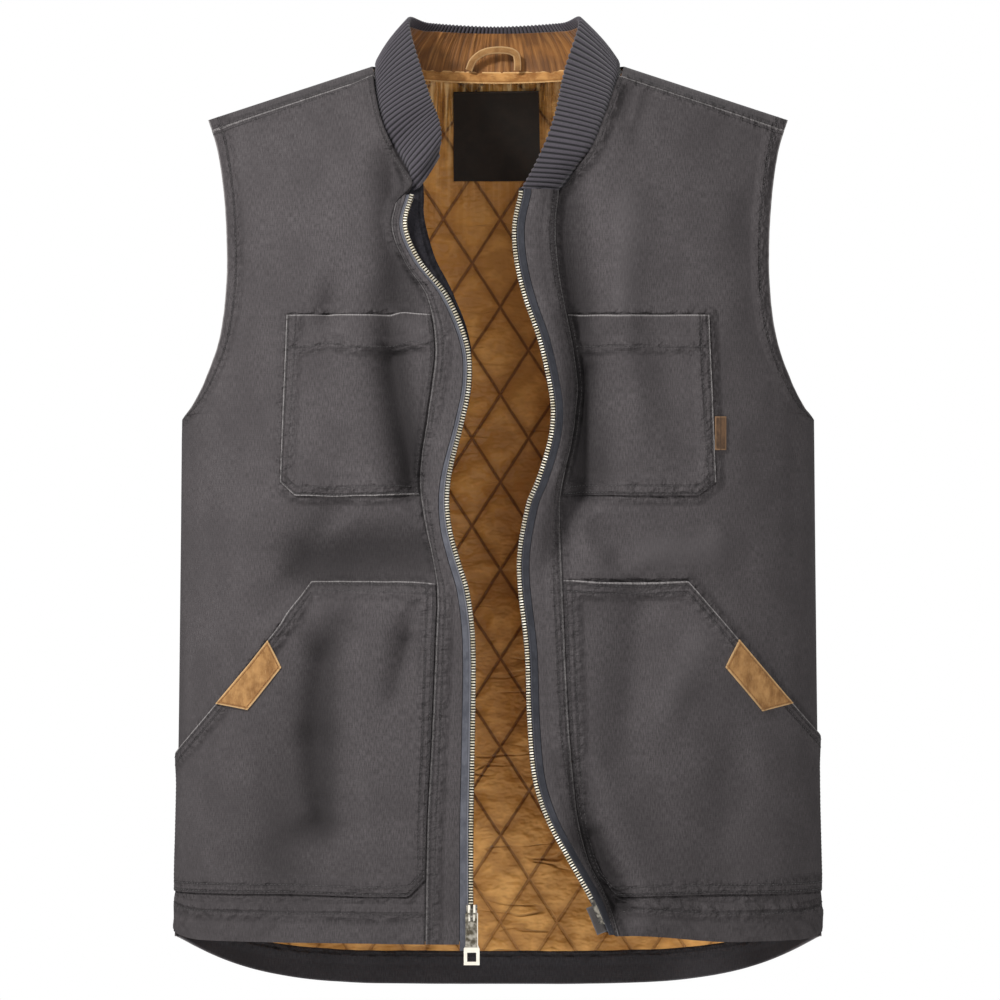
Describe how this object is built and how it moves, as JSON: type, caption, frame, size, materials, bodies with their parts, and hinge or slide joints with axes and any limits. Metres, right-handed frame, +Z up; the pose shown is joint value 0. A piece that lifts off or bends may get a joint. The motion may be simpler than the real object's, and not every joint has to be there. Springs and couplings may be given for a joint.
{
  "type": "work vest",
  "caption": "Sleeveless canvas work vest in worn form with a rib-knit collar, quilted lining, patch pockets, a drop tail and an open front zip.",
  "frame": {"origin": "midway between the two neck points, on the shoulder line", "axes": "+Z up, -Y to the front, +X to the wearer's left"},
  "size_m": [0.5298, 0.2321, 0.7973],
  "materials": {
    "canvas": "washed cotton canvas",
    "quilted_lining": "diamond-quilted satin",
    "rib_knit": "rib knit",
    "collar_lining": "brushed lining",
    "tan_trim": "woven tape",
    "label": "plain woven label",
    "zip_tape": "woven tape",
    "zip_metal": "pale antique brass"
  },
  "bodies": {
    "vest": {"front_panel_right": "canvas", "front_panel_left": "canvas", "back_panel": "canvas", "front_lining_right": "quilted_lining", "front_lining_left": "quilted_lining", "back_lining": "quilted_lining", "front_facing_right": "canvas", "front_facing_left": "canvas", "tail_facing": "canvas", "zip_placket_right": "canvas", "zip_placket_left": "canvas", "zip_tape_right": "zip_tape", "zip_tape_left": "zip_tape", "zip_teeth_right": "zip_metal", "zip_teeth_left": "zip_metal", "zip_slider": "zip_metal", "zip_box": "zip_metal", "zip_pin": "zip_metal", "chest_pocket_right": "canvas", "chest_pocket_left": "canvas", "hand_pocket_right": "canvas", "hand_pocket_left": "canvas", "pocket_patch_right": "tan_trim", "pocket_patch_left": "tan_trim", "pocket_tag": "tan_trim", "collar_rib": "rib_knit", "collar_facing": "collar_lining", "neck_tape": "tan_trim", "hanger_loop": "tan_trim", "neck_label": "label"},
    "pull": {"zip_pull": "zip_metal"}
  },
  "joints": [
    {"name": "zip_pull_hinge", "type": "hinge", "parent": "vest", "child": "pull", "pos_m": [-0.021, -0.12154, -0.684], "axis": [-1, 0, 0], "range_deg": [0, 160]}
  ]
}
